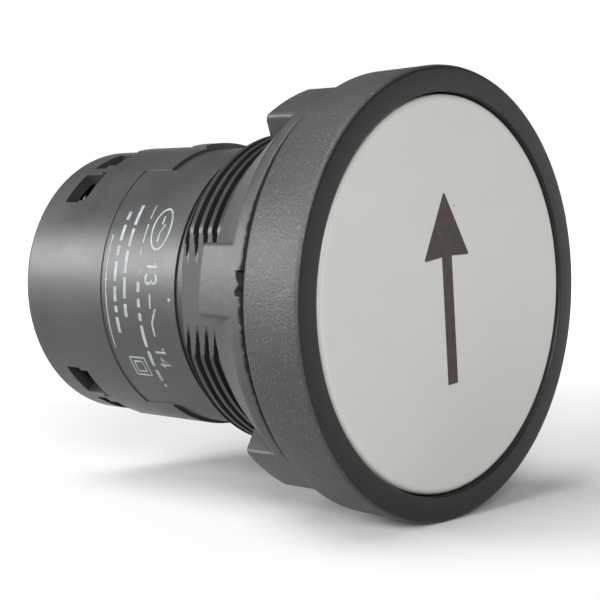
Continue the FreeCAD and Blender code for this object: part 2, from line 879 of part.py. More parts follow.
def build():
    bezel()
    button_cap()
    plunger()
    lip_seal()
    panel_gasket()
    threaded_collar()
    fixing_nut()
    return_spring()
    contact_spring()
    barrel_housing()
    rear_cover()
    contact_carrier()
    terminal_block()
    contact_bridge()
    contact_tips("bridge_contact_tips", d.tip_radius, BRIDGE_BACK, d.tip_height)
    contact_tips("fixed_contact_tips", d.fixed_tip_radius, d.strip_front - d.fixed_tip_height,
                 d.fixed_tip_height)
    for word, direction, angle in zip(("upper", "lower"), (1, -1), terminal_angles()):
        fixed_contact(f"fixed_contact_{word}", angle, direction)
        terminal_clamp(f"terminal_clamp_{word}", angle)
        spring_washer(f"spring_washer_{word}", angle)
        terminal_screw(f"terminal_screw_{word}", angle)
    document.recompute()


def sub_parts():
    """The bodies and compounds that are pieces of the object."""
    return [item for item in document.Objects
            if item.TypeId in ("PartDesign::Body", "Part::Compound")]


def check_document():
    for item in document.Objects:
        if "Invalid" in item.State or "Error" in item.State:
            raise ValueError(f"{item.Label} failed: {item.State}")
    for item in sub_parts():
        if item.Shape.isNull() or not item.Shape.isValid():
            raise ValueError(f"{item.Label} has no valid shape")


def export():
    os.makedirs("parts", exist_ok=True)
    for item in sub_parts():
        item.Shape.exportStep(f"parts/{item.Label}.step")
        print(f"{item.Label:22s} {len(item.Shape.Solids)} solids {item.Shape.Volume:9.2f} mm3")


build()
check_document()
export()
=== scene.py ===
"""The looks of a panel-mounted push button: a flush arrow cap in a black bezel, with nut and barrel.

Lengths in this script are millimetres until they reach a mesh, a light or the camera.
Angles about the button's axis are degrees above -X towards +Z, as seen from the front.
"""

import math
import random

import bmesh
import bpy
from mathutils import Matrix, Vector, noise


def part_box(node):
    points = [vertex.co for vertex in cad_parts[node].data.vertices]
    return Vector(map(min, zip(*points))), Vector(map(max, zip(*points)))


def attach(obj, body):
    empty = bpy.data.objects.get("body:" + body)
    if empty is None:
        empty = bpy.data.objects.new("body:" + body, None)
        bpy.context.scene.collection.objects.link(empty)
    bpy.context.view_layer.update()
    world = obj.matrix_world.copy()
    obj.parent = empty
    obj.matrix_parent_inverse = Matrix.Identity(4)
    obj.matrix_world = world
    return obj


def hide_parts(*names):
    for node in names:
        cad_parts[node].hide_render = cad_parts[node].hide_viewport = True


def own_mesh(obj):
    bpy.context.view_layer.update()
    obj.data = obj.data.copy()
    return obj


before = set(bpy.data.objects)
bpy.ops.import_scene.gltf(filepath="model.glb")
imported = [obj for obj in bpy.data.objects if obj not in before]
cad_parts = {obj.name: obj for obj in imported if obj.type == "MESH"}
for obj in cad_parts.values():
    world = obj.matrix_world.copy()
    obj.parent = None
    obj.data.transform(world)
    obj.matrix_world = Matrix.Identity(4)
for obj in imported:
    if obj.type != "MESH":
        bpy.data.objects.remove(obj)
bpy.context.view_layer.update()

MM = 0.001
TURN_STEPS = 240


# ---------------------------------------------------------------- sizes

def node_box(name):
    """A node's lowest and highest corners, in millimetres."""
    low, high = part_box(name)
    return Vector(low) / MM, Vector(high) / MM


BEZEL_LOW, BEZEL_HIGH = node_box("bezel")
CAP_LOW, CAP_HIGH = node_box("button_cap")
GASKET_LOW, GASKET_HIGH = node_box("panel_gasket")
COLLAR_LOW, COLLAR_HIGH = node_box("threaded_collar")
NUT_LOW, NUT_HIGH = node_box("fixing_nut")
BARREL_LOW, BARREL_HIGH = node_box("barrel_housing")
COVER_LOW, COVER_HIGH = node_box("rear_cover")
RETURN_LOW, RETURN_HIGH = node_box("return_spring")
CONTACT_LOW, CONTACT_HIGH = node_box("contact_spring")

BEZEL_RADIUS = 14.75
BEZEL_BACK_RADIUS = 14.6
CAP_RADIUS = CAP_HIGH.x
CAP_GAP = 0.12
CAP_THICKNESS = 1.1
STAKE_CIRCLE = 5.4
STAKE_RADIUS = 0.75
GASKET_BORE = 10.95
FLANGE_RADIUS = 13.6
FLANGE_FRONT = COLLAR_LOW.y
FLANGE_GAP = 0.02
SEAL_GROOVE = 9.6
SEAL_GROOVE_DEPTH = 1.2
GUIDE_BORE = 8.05
GUIDE_BACK = 5.5
SPIGOT_RADIUS = 11.1
NECK_RADIUS = 10.9
BAND_RADIUS = 10.0
BAND_BORE = 9.4
THREAD_CREST = 10.85
THREAD_ROOT = 10.25
THREAD_CORE = THREAD_ROOT - 0.55
THREAD_PITCH = 0.85
THREAD_CREST_SHARE = 0.2
THREAD_FLANK_END = 0.38
THREAD_START = 1.0
THREAD_FRONT = THREAD_START + 0.02
THREAD_END = 9.5
THREAD_SHARPNESS = 25
FLAT_DISTANCE = 10.0
NUT_RADIUS = NUT_HIGH.x
LUG_ANGLE = 19.5
LUG_MIDDLE = 5.0
LUG_BACK = 3.95
BARREL_SPIGOT_RADIUS = 9.35
BARREL_SPIGOT_BORE = 8.75
BARREL_FRONT_RADIUS = 9.95
BARREL_RADIUS = BARREL_HIGH.x
BARREL_BACK_RADIUS = 9.97
BARREL_STEP = 14.9
BARREL_BACK_STEP = 22.4
BARREL_BORE = 9.1
SEAM = COLLAR_HIGH.y
SEAM_GAP = 0.03
COVER_BEAD = (COVER_LOW.y + COVER_HIGH.y) / 2
COVER_RADIUS = BARREL_BORE - 0.05
COVER_RIM_BORE = 8.2
COVER_RIM_HEIGHT = 0.15
LABEL_RADIUS = 10.12
LABEL_BACK = 17.6
LABEL_HALF_ANGLE = 55.0
TERMINAL_ANGLE = 57.0
TERMINAL_CIRCLE = 6.0
POST_ANGLE = 5.0
WINDOW_ANGLE = 17.0
WINDOW_FRONT = 21.65
WINDOW_BACK = 24.2
ACCESS_HOLE = 2.2
PRESS_TRAVEL = 2.4
BRIDGE_TRAVEL = 1.44


# ---------------------------------------------------------------- mesh helpers

def around(radius, angle, y):
    """A point at an angle about the button's axis."""
    turn = math.radians(angle)
    return (-radius * math.cos(turn), y, radius * math.sin(turn))


def add_object(name, data):
    made = bpy.data.objects.new(name, data)
    bpy.context.scene.collection.objects.link(made)
    return made


def add_mesh(name, points, faces):
    """A mesh object from points in millimetres."""
    mesh = bpy.data.meshes.new(name)
    mesh.from_pydata([[value * MM for value in point] for point in points], [], faces)
    return add_object(name, mesh)


def settled_mesh(made):
    """A new mesh of an object as its modifiers or its lettering make it."""
    graph = bpy.context.evaluated_depsgraph_get()
    return bpy.data.meshes.new_from_object(made.evaluated_get(graph))


def piece(name, points, faces, body, slot, materials, stands_for=(), smooth=32.0):
    """A mesh object from points in millimetres, riding on a CAD body."""
    made = add_mesh(name, points, faces)
    tidy_normals(made, smooth)
    for item in materials:
        made.data.materials.append(item)
    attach(made, body)
    if stands_for:
        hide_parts(*stands_for)
    return made


def tidy_normals(made, smooth):
    """Outward normals, shared points and smooth shading up to the given angle."""
    work = bmesh.new()
    work.from_mesh(made.data)
    bmesh.ops.remove_doubles(work, verts=work.verts, dist=1e-7)
    bmesh.ops.dissolve_degenerate(work, edges=work.edges, dist=1e-7)
    bmesh.ops.recalc_face_normals(work, faces=work.faces)
    work.to_mesh(made.data)
    work.free()
    made.data.shade_smooth()
    made.data.set_sharp_from_angle(angle=math.radians(smooth))


def bevel(made, width):
    """A small rounding along the piece's hard edges."""
    rounding = made.modifiers.new("rounding", "BEVEL")
    rounding.width = width * MM
    rounding.segments = 2
    rounding.limit_method = "ANGLE"
    rounding.angle_limit = math.radians(40.0)
    rounding.use_clamp_overlap = True


def round_corners(outline, steps=5):
    """An outline of (radius, y) or (radius, y, rounding) with its marked corners as arcs."""
    made = []
    count = len(outline)
    for index, corner in enumerate(outline):
        here = Vector(corner[:2])
        if len(corner) == 2:
            made.append(here)
            continue
        before = (Vector(outline[index - 1][:2]) - here).normalized()
        after = (Vector(outline[(index + 1) % count][:2]) - here).normalized()
        half = before.angle(after) / 2
        reach = corner[2] / math.tan(half)
        centre = here + (before + after).normalized() * (corner[2] / math.sin(half))
        first = here + before * reach - centre
        sweep = math.pi - 2 * half
        way = 1 if first.cross(here + after * reach - centre) > 0 else -1
        for step in range(steps + 1):
            turn = way * sweep * step / steps
            spun = (first.x * math.cos(turn) - first.y * math.sin(turn),
                    first.x * math.sin(turn) + first.y * math.cos(turn))
            made.append(centre + Vector(spun))
    return made


def lathe(outline, steps=TURN_STEPS):
    """Points and faces of a closed (radius, y) outline turned about the axis."""
    points, rows = [], []
    for radius, y in round_corners(outline):
        if radius < 1e-6:
            rows.append([len(points)] * steps)
            points.append((0, y, 0))
            continue
        rows.append(list(range(len(points), len(points) + steps)))
        points += [around(radius, 360 * step / steps, y) for step in range(steps)]
    faces = []
    for row, following in zip(rows, rows[1:] + rows[:1]):
        for step in range(steps):
            after = (step + 1) % steps
            corners = [row[step], row[after], following[after], following[step]]
            corners = list(dict.fromkeys(corners))
            if len(corners) > 2:
                faces.append(corners)
    return points, faces


def angle_grid(breaks, step):
    """Angles round the circle that include every break and are no more than step apart."""
    marks = sorted({round(angle % 360, 4) for angle in breaks} | {0.0})
    grid = []
    for start, end in zip(marks, marks[1:] + [marks[0] + 360]):
        parts = max(1, math.ceil((end - start) / step))
        grid += [start + (end - start) * part / parts for part in range(parts)]
    return grid


class PolarShell:
    """A shell on a grid of angles and levels, with its own radii and holes in each cell.

    outer and inner give the radii at (angle, y), and solid says where there is material.
    Walls close every step between cells, so the mesh is closed.
    """

    def __init__(self, angles, levels, outer, inner, solid):
        self.angles, self.levels = angles, levels
        self.count = len(angles)
        self.points, self.index, self.faces = [], {}, []
        self.cells = self.measure(outer, inner, solid)
        self.used = self.radii_in_use()
        for cell in self.cells:
            self.skin(cell)
        for column in range(self.count):
            for level in range(len(levels) - 1):
                self.side_walls(column, level)
            for level in range(len(levels)):
                self.level_walls(column, level)

    def measure(self, outer, inner, solid):
        """Each solid cell's outer and inner radius at its front and back."""
        cells = {}
        nudge = 1e-5
        for column, angle in enumerate(self.angles):
            following = self.angles[column + 1] if column + 1 < self.count else self.angles[0] + 360
            middle = ((angle + following) / 2 + 180) % 360 - 180
            for level, (front, back) in enumerate(zip(self.levels, self.levels[1:])):
                if solid(middle, (front + back) / 2):
                    ends = (front + nudge, back - nudge)
                    cells[column, level] = [(inner(middle, y), outer(middle, y)) for y in ends]
        return cells

    def radii_in_use(self):
        used = {}
        for (column, level), ends in self.cells.items():
            for side in (0, 1):
                for back in (0, 1):
                    corner = ((column + side) % self.count, level + back)
                    used.setdefault(corner, set()).update(round(r, 4) for r in ends[back])
        return used

    def point(self, column, level, radius):
        key = (column % self.count, level, round(radius, 4))
        if key not in self.index:
            self.index[key] = len(self.points)
            self.points.append(around(radius, self.angles[key[0]], self.levels[level]))
        return self.index[key]

    def chain(self, column, level, first, last):
        """The points on one corner's radial line, from one radius to another."""
        low, high = sorted((round(first, 4), round(last, 4)))
        radii = [r for r in sorted(self.used[column % self.count, level]) if low <= r <= high]
        if first > last:
            radii.reverse()
        return [self.point(column, level, radius) for radius in radii]

    def face(self, corners):
        corners = list(dict.fromkeys(corners))
        if len(corners) > 2:
            self.faces.append(corners)

    def skin(self, cell):
        column, level = cell
        for kind in (0, 1):
            front, back = (ends[kind] for ends in self.cells[cell])
            self.face([self.point(column, level, front), self.point(column + 1, level, front),
                       self.point(column + 1, level + 1, back), self.point(column, level + 1, back)])

    def side_walls(self, column, level):
        here = self.cells.get((column, level))
        there = self.cells.get(((column + 1) % self.count, level))
        for front, back in self.spans(here, there):
            self.face(self.chain(column + 1, level, *front)
                      + self.chain(column + 1, level + 1, *reversed(back)))

    def spans(self, here, there):
        """The radial stretches, at the front and the back, that a wall between two cells fills."""
        if here is None and there is None:
            return []
        if here is None or there is None:
            return [tuple(here or there)]
        stretches = [((here[0][kind], there[0][kind]), (here[1][kind], there[1][kind]))
                     for kind in (0, 1)]
        return [ends for ends in stretches if any(first != last for first, last in ends)]

    def level_walls(self, column, level):
        here = self.cells.get((column, level - 1))
        there = self.cells.get((column, level))
        if here is None and there is None:
            return
        if here is None or there is None:
            stretches = [there[0] if here is None else here[1]]
        else:
            stretches = [(here[1][kind], there[0][kind]) for kind in (0, 1)
                         if here[1][kind] != there[0][kind]]
        for first, last in stretches:
            self.face(self.chain(column, level, first, last)
                      + self.chain(column + 1, level, last, first))


# ---------------------------------------------------------------- material helpers

class Nodes:
    """Short forms for building one node material."""

    def __init__(self, name):
        self.material = bpy.data.materials.new(name)
        self.material.use_nodes = True
        self.tree = self.material.node_tree
        self.shader = self.tree.nodes["Principled BSDF"]
        coordinates = self.tree.nodes.new("ShaderNodeTexCoord")
        self.place = coordinates.outputs["Object"]

    def add(self, kind, **settings):
        node = self.tree.nodes.new("ShaderNode" + kind)
        for key, value in settings.items():
            if key in node.inputs:
                node.inputs[key].default_value = value
            else:
                setattr(node, key, value)
        return node

    def link(self, output, target):
        self.tree.links.new(output, target)

    def stretched(self, scale):
        mapping = self.add("Mapping")
        mapping.inputs["Scale"].default_value = scale
        self.link(self.place, mapping.inputs["Vector"])
        return mapping.outputs["Vector"]

    def noise(self, per_mm, detail=3.0, rough=0.55, vector=None):
        made = self.add("TexNoise", Scale=per_mm / MM, Detail=detail, Roughness=rough)
        self.link(vector or self.place, made.inputs["Vector"])
        return made.outputs["Fac"]

    def ramp(self, factor, stops):
        """A colour ramp from (position, grey or colour) stops."""
        made = self.add("ValToRGB")
        ramp = made.color_ramp
        while len(ramp.elements) < len(stops):
            ramp.elements.new(0.5)
        for element, (position, colour) in zip(ramp.elements, stops):
            element.position = position
            grey = isinstance(colour, (int, float))
            element.color = (colour, colour, colour, 1) if grey else (*colour, 1)
        self.link(factor, made.inputs["Fac"])
        return made.outputs["Color"]

    def blend(self, factor, first, second, how="MIX"):
        made = self.add("Mix", data_type="RGBA", blend_type=how)
        sockets = [item for item in made.inputs if item.enabled]
        for source, target in zip((factor, first, second), sockets):
            if isinstance(source, (int, float)):
                target.default_value = source
            elif isinstance(source, tuple):
                target.default_value = (*source, 1)
            else:
                self.link(source, target)
        return next(item for item in made.outputs if item.enabled)

    def maths(self, how, first, second):
        made = self.add("Math", operation=how)
        for source, target in zip((first, second), made.inputs):
            if isinstance(source, (int, float)):
                target.default_value = source
            else:
                self.link(source, target)
        return made.outputs[0]

    def bump(self, height, strength, distance, below=None):
        made = self.add("Bump", Strength=strength, Distance=distance * MM)
        self.link(height, made.inputs["Height"])
        if below is not None:
            self.link(below, made.inputs["Normal"])
        return made.outputs["Normal"]

    def finish(self, colour, roughness, normal=None, **constants):
        self.link(colour, self.shader.inputs["Base Color"])
        self.link(roughness, self.shader.inputs["Roughness"])
        if normal is not None:
            self.link(normal, self.shader.inputs["Normal"])
        for key, value in constants.items():
            self.shader.inputs[key.replace("_", " ")].default_value = value
        return self.material


def moulded_plastic(name, dark, light, grain_per_mm, grain_strength, roughness, glint_amount, **constants):
    """Moulded plastic: spark-eroded grain, uneven gloss, fine scratches and painted glint specks."""
    m = Nodes(name)
    grain = m.noise(grain_per_mm, detail=2.0, rough=0.6)
    cloud = m.noise(0.22, detail=4.0)
    specks = m.noise(grain_per_mm * 0.8, detail=1.0)
    base = m.ramp(cloud, [(0.3, dark), (0.75, light)])
    # Painted glints: light specks mixed into the base colour where the grain would catch light.
    glint = m.ramp(specks, [(0.58, 0.0), (0.74, 1.0)])
    painted_glints = m.maths("MULTIPLY", glint, glint_amount)
    colour = m.blend(painted_glints, base, tuple(min(1.0, value * 3.2) for value in light))
    streaks = m.noise(1.0, detail=2.0, vector=m.stretched((9.0, 0.6, 1.2)))
    scratched = m.ramp(streaks, [(0.62, 0.0), (0.66, 1.0)])
    uneven = m.maths("MULTIPLY_ADD", cloud, 0.22)
    uneven.node.inputs[2].default_value = roughness - 0.11
    rough = m.maths("ADD", uneven, m.maths("MULTIPLY", scratched, -0.05))
    normal = m.bump(grain, grain_strength, 0.05)
    normal = m.bump(streaks, 0.06, 0.03, normal)
    return m.finish(colour, rough, normal, **constants)


def white_cap_plastic():
    m = Nodes("white_cap_plastic")
    cloud = m.noise(0.12, detail=3.0)
    base = m.ramp(cloud, [(0.3, (0.374, 0.366, 0.345)), (0.75, (0.397, 0.388, 0.364))])
    dots = m.add("TexVoronoi", Scale=0.42 / MM)
    m.link(m.place, dots.inputs["Vector"])
    speck = m.ramp(dots.outputs["Distance"], [(0.02, 1.0), (0.045, 0.0)])
    sparse = m.ramp(m.noise(0.5, detail=1.0), [(0.6, 0.0), (0.64, 1.0)])
    colour = m.blend(m.maths("MULTIPLY", speck, sparse), base, (0.16, 0.14, 0.13))
    fine = m.noise(6.0, detail=2.0)
    rough = m.ramp(cloud, [(0.2, 0.36), (0.8, 0.46)])
    return m.finish(colour, rough, m.bump(fine, 0.08, 0.01), Subsurface_Weight=0.05)


def ink(name, colour, worn):
    """Printing ink: nearly even, thinner in places."""
    m = Nodes(name)
    cloud = m.noise(1.6, detail=4.0)
    base = m.ramp(cloud, [(0.25, colour), (0.8, worn)])
    rough = m.ramp(m.noise(3.0), [(0.2, 0.45), (0.8, 0.6)])
    return m.finish(base, rough, m.bump(m.noise(8.0), 0.1, 0.01), Specular_IOR_Level=0.3)


def rubber():
    m = Nodes("black_rubber")
    cloud = m.noise(0.8, detail=3.0)
    # Black rubber, its colour taken darker still as painted shade in the gap between bezel and nut.
    base = m.ramp(cloud, [(0.3, 0.003), (0.8, 0.007)])
    rough = m.ramp(cloud, [(0.2, 0.7), (0.8, 0.85)])
    return m.finish(base, rough, m.bump(m.noise(5.0), 0.2, 0.02), Specular_IOR_Level=0.15)


def metal(name, dark, light, roughness, brushed=(1.0, 1.0, 1.0)):
    """Plated or drawn metal: faint streaks, and patches that are duller."""
    m = Nodes(name)
    cloud = m.noise(0.9, detail=4.0)
    streaks = m.noise(6.0, detail=2.0, vector=m.stretched(brushed))
    base = m.ramp(m.blend(0.5, cloud, streaks), [(0.3, dark), (0.75, light)])
    rough = m.ramp(streaks, [(0.2, roughness), (0.8, roughness + 0.16)])
    return m.finish(base, rough, m.bump(streaks, 0.12, 0.01), Metallic=1.0)


BLACK_SIDE = moulded_plastic(
    "grained_black", (0.016, 0.0156, 0.0166), (0.025, 0.0244, 0.0256), 6.0, 0.7, 0.47, 0.4,
    Specular_IOR_Level=0.4)
# Front ring: the side wall's plastic, smoother, with a darker colour that is painted shade.
SHADED_BLACK_FACE = moulded_plastic(
    "smooth_black_painted_shade", (0.006, 0.0058, 0.0064), (0.009, 0.0086, 0.0094), 5.0, 0.05, 0.40, 0.02,
    Specular_IOR_Level=0.28)
BLACK_NUT = moulded_plastic(
    "nut_black", (0.020, 0.020, 0.0214), (0.031, 0.031, 0.0326), 3.0, 0.2, 0.46, 0.08,
    Specular_IOR_Level=0.4)
BLACK_BARREL = moulded_plastic(
    "barrel_black", (0.018, 0.0178, 0.0178), (0.028, 0.0276, 0.0274), 2.6, 0.12, 0.40, 0.05,
    Specular_IOR_Level=0.42)
BLACK_THREAD = moulded_plastic(
    "thread_black", (0.006, 0.006, 0.0063), (0.012, 0.012, 0.0124), 3.2, 0.15, 0.40, 0.05,
    Specular_IOR_Level=0.4)
BLACK_INNER = moulded_plastic(
    "inner_black", (0.012, 0.012, 0.0125), (0.022, 0.021, 0.022), 2.4, 0.2, 0.5, 0.05)
NATURAL = moulded_plastic(
    "natural_nylon", (0.42, 0.41, 0.38), (0.52, 0.51, 0.48), 2.0, 0.1, 0.45, 0.05)
WHITE_CAP = white_cap_plastic()
ARROW_INK = ink("arrow_ink", (0.024, 0.017, 0.016), (0.040, 0.030, 0.028))
PRINT_INK = ink("print_ink", (0.22, 0.245, 0.26), (0.09, 0.10, 0.105))
GAP_SHADED_RUBBER = rubber()
ZINC = metal("zinc_plate", (0.42, 0.40, 0.33), (0.72, 0.70, 0.62), 0.26, (1.0, 6.0, 1.0))
SPRING_WIRE = metal("spring_wire", (0.35, 0.35, 0.36), (0.6, 0.6, 0.6), 0.3)
COPPER = metal("copper_strip", (0.50, 0.27, 0.15), (0.72, 0.42, 0.25), 0.3, (1.0, 1.0, 8.0))
SILVER = metal("silver_rivet", (0.62, 0.61, 0.57), (0.86, 0.85, 0.80), 0.25)


# ---------------------------------------------------------------- head

def make_bezel():
    front, back = BEZEL_LOW.y, BEZEL_HIGH.y
    bore = CAP_RADIUS + CAP_GAP
    pocket = FLANGE_RADIUS + FLANGE_GAP
    mouth_rounding = 0.12
    outline = [
        (bore, front, mouth_rounding),
        (BEZEL_RADIUS, front, 0.32),
        (BEZEL_BACK_RADIUS, back, 0.3),
        (pocket, back),
        (pocket, FLANGE_FRONT - 0.01),
        (bore, FLANGE_FRONT - 0.01),
    ]
    made = piece("bezel_ring", *lathe(outline), "housing", "black_plastic",
                 [BLACK_SIDE, SHADED_BLACK_FACE], ["bezel"])
    # The front ring's faces take the copy whose darker colour is painted shade.
    shaded_face_radius = BEZEL_RADIUS - 0.14
    for face in made.data.polygons:
        centre = face.center / MM
        if centre.y < front + mouth_rounding and math.hypot(centre.x, centre.z) < shaded_face_radius:
            face.material_index = 1


def make_cap():
    front = CAP_LOW.y
    back = front + CAP_THICKNESS
    outline = [(0, front), (CAP_RADIUS, front, 0.5), (CAP_RADIUS, back, 0.1), (0, back)]
    points, faces = lathe(outline)
    for index in range(3):
        centre = around(STAKE_CIRCLE, 90 + 120 * index, 0)
        add_rod(points, faces, centre, back - 0.05, CAP_HIGH.y, STAKE_RADIUS)
    piece("cap_disc", points, faces, "button", "white_plastic", [WHITE_CAP], ["button_cap"])


def add_rod(points, faces, centre, front, back, radius, steps=32):
    """A round stake along the axis with a small end chamfer."""
    start = len(points)
    edge = radius * 0.2
    rings = [(front, radius), (back - edge, radius), (back, radius - edge)]
    for y, size in rings:
        for step in range(steps):
            turn = math.tau * step / steps
            points.append((centre[0] + size * math.cos(turn), y, centre[2] + size * math.sin(turn)))
    for row in range(len(rings) - 1):
        for step in range(steps):
            after = (step + 1) % steps
            low, high = start + row * steps, start + (row + 1) * steps
            faces.append([low + step, low + after, high + after, high + step])
    faces.append([start + step for step in range(steps)])
    faces.append([start + (len(rings) - 1) * steps + step for step in range(steps)])


ARROW_TIP = 6.7
ARROW_END = -5.8
ARROW_HEAD_LENGTH = 4.3
ARROW_HEAD_HALF = 2.4
ARROW_SHAFT_HALF = 0.52
ARROW_LEAN = 5.4
ARROW_SHIFT = -0.2
INK_FILM = 0.015
INK_ROOT = 0.02


def make_arrow():
    """The printed arrow, a film of ink on the cap's face, leaning a little to the left."""
    face = CAP_LOW.y
    shoulder = ARROW_TIP - ARROW_HEAD_LENGTH
    outline = [
        (0, ARROW_TIP, 0.1), (ARROW_HEAD_HALF, shoulder, 0.1), (ARROW_SHAFT_HALF, shoulder + 0.12),
        (ARROW_SHAFT_HALF, ARROW_END, 0.05), (-ARROW_SHAFT_HALF, ARROW_END, 0.05),
        (-ARROW_SHAFT_HALF, shoulder + 0.12), (-ARROW_HEAD_HALF, shoulder, 0.1),
    ]
    lean = math.radians(ARROW_LEAN)
    across, up = math.cos(lean), math.sin(lean)
    flat = [(ARROW_SHIFT + x * across - z * up, x * up + z * across)
            for x, z in round_corners(outline)]
    count = len(flat)
    points = [(x, face + y, z) for y in (-INK_FILM, INK_ROOT) for x, z in flat]
    faces = [list(range(count)), list(range(2 * count - 1, count - 1, -1))]
    faces += [[index, (index + 1) % count, (index + 1) % count + count, index + count]
              for index in range(count)]
    piece("arrow_print", points, faces, "button", "white_plastic", [ARROW_INK])


def make_gasket():
    low, high = GASKET_LOW.y, GASKET_HIGH.y
    outer = GASKET_HIGH.x
    outline = [(GASKET_BORE, low), (outer, low, 0.12), (outer, high, 0.12), (GASKET_BORE, high)]
    piece("gasket_ring", *lathe(outline), "housing", "black_rubber", [GAP_SHADED_RUBBER], ["panel_gasket"])


# ---------------------------------------------------------------- collar and nut

def make_collar():
    """The collar's flange, spigot, bore and plain band, with the thread as a sleeve of its own."""
    flange_back = BEZEL_HIGH.y
    seal_back = FLANGE_FRONT + SEAL_GROOVE_DEPTH
    outline = [
        (SEAL_GROOVE, FLANGE_FRONT), (FLANGE_RADIUS, FLANGE_FRONT, 0.1),
        (FLANGE_RADIUS, flange_back), (NECK_RADIUS, flange_back), (NECK_RADIUS, 0),
        (SPIGOT_RADIUS, 0), (SPIGOT_RADIUS, THREAD_START, 0.1), (THREAD_CORE, THREAD_START),
        (THREAD_CORE, THREAD_END), (BAND_RADIUS, THREAD_END), (BAND_RADIUS, SEAM, 0.1),
        (BAND_BORE, SEAM), (BAND_BORE, GUIDE_BACK), (GUIDE_BORE, GUIDE_BACK),
        (GUIDE_BORE, seal_back), (SEAL_GROOVE, seal_back),
    ]
    piece("collar_tube", *lathe(outline), "housing", "black_plastic", [BLACK_THREAD],
          ["threaded_collar"])
    make_thread()


def thread_radius(phase):
    """The thread's radius at a phase of 0 to 1 along the pitch: crest, flank, root, flank, crest."""
    past_crest = min(phase, 1 - phase) - THREAD_CREST_SHARE
    fall = past_crest / (THREAD_FLANK_END - THREAD_CREST_SHARE)
    return THREAD_CREST - (THREAD_CREST - THREAD_ROOT) * min(1.0, max(0.0, fall))


def make_thread():
    """A true helical thread: rows follow the helix, some turns past both ends, which are cut later."""
    phases = [0.0, 0.1, 0.2, 0.26, 0.32, 0.38, 0.5, 0.62, 0.68, 0.74, 0.8, 0.9]
    low = int(math.floor(THREAD_START / THREAD_PITCH)) - 2
    high = int(math.ceil(THREAD_END / THREAD_PITCH)) + 2
    rows = [(turn, phase) for turn in range(low, high) for phase in phases]
    points, faces = [], []
    for turn, phase in rows:
        radius = thread_radius(phase)
        for step in range(TURN_STEPS + 1):
            y = (turn + phase + step / TURN_STEPS) * THREAD_PITCH
            points.append(around(run_out(radius, y), 360 * step / TURN_STEPS, y))
    width = TURN_STEPS + 1
    for row in range(len(rows) - 1):
        for step in range(TURN_STEPS):
            corner = row * width + step
            faces.append([corner, corner + 1, corner + width + 1, corner + width])
    thread = piece("collar_thread", points, faces, "housing", "black_plastic", [BLACK_THREAD],
                   smooth=THREAD_SHARPNESS)
    close_thread(thread)


def run_out(radius, y):
    """The thread's end chamfer, from a little below the root at the very end."""
    depth, slope = 0.12, 1.5
    return min(radius, THREAD_ROOT - depth + max(0.0, THREAD_END - y) * slope)


def close_thread(thread):
    """Cut both ends square, flatten the two flats and close the sleeve down to its core."""
    work = bmesh.new()
    work.from_mesh(thread.data)
    bmesh.ops.remove_doubles(work, verts=work.verts, dist=2e-6)
    for y, normal in ((THREAD_FRONT, -1), (THREAD_END, 1)):
        geometry = work.verts[:] + work.edges[:] + work.faces[:]
        bmesh.ops.bisect_plane(work, geom=geometry, plane_co=(0, y * MM, 0), plane_no=(0, normal, 0),
                               clear_outer=True, dist=1e-8)
    limit = FLAT_DISTANCE * MM
    for vertex in work.verts:
        vertex.co.x = max(-limit, min(limit, vertex.co.x))
    rims = [edge for edge in work.edges if edge.is_boundary]
    inner_rims = []
    for y in (THREAD_FRONT, THREAD_END):
        rim = [edge for edge in rims if all(abs(vertex.co.y - y * MM) < 1e-6 for vertex in edge.verts)]
        made = bmesh.ops.extrude_edge_only(work, edges=rim)["geom"]
        for vertex in (item for item in made if isinstance(item, bmesh.types.BMVert)):
            length = math.hypot(vertex.co.x, vertex.co.z)
            vertex.co.x *= THREAD_CORE * MM / length
            vertex.co.z *= THREAD_CORE * MM / length
        inner_rims += [item for item in made
                       if isinstance(item, bmesh.types.BMEdge) and item.is_boundary]
    bmesh.ops.bridge_loops(work, edges=inner_rims)
    bmesh.ops.recalc_face_normals(work, faces=work.faces)
    work.to_mesh(thread.data)
    work.free()
    thread.data.shade_smooth()
    thread.data.set_sharp_from_angle(angle=math.radians(THREAD_SHARPNESS))


RIM_END = 1.2
HUB_RADIUS = 11.5
NUT_BORE = 10.95
NUT_RELIEF = 12.0
NUT_RELIEF_DEPTH = 1.1
LUG_BACK_SLOPE = 4
LUG_ROUNDING = 0.32
RIM_ROUNDING = 0.16
RIM_FRONT = NUT_LOW.y + 0.27
RIM_WAVE = 0.05
GATE_LOW = 1.2
GATE_HIGH = 7.7
GATE_FRONT = NUT_LOW.y + 0.56
GATE_WAVE = 0.35
FLASH_LOW = -30
FLASH_HIGH = 26
FLASH_WAVE = 0.14


def turned(rows, angles):
    """A closed ring: each row gives a radius and y for every angle; the last row joins the first."""
    points, faces = [], []
    for row in rows:
        for angle in angles:
            radius, y = row(angle)
            points.append(around(radius, angle, y))
    width = len(angles)
    for index in range(len(rows)):
        low, high = index * width, (index + 1) % len(rows) * width
        for step in range(width):
            after = (step + 1) % width
            faces.append([low + step, low + after, high + after, high + step])
    return points, faces


def lug_offset(angle):
    """How far an angle lies from the middle of its nearest lug, in degrees."""
    return abs((angle - LUG_MIDDLE + 30) % 60 - 30)


def nut_cone(y):
    return NUT_RADIUS - (NUT_RADIUS - HUB_RADIUS) * (y - RIM_END) / (NUT_HIGH.y - RIM_END)


def nut_surface(angle, y):
    """The outer radius: a cone, with lugs whose edges are rounded."""
    if y <= RIM_END:
        return NUT_RADIUS
    cone = nut_cone(y)
    inside = math.radians(LUG_ANGLE / 2 - lug_offset(angle)) * NUT_RADIUS
    if inside < 0:
        return cone
    top = NUT_RADIUS
    past = y - (LUG_BACK - LUG_ROUNDING)
    if past > 0:
        drop = min(past, LUG_ROUNDING)
        top -= LUG_ROUNDING - math.sqrt(LUG_ROUNDING ** 2 - drop ** 2)
        top -= max(0.0, past - LUG_ROUNDING) * LUG_BACK_SLOPE
    short = LUG_ROUNDING - min(inside, LUG_ROUNDING)
    top -= LUG_ROUNDING - math.sqrt(LUG_ROUNDING ** 2 - short ** 2)
    return max(cone, top)


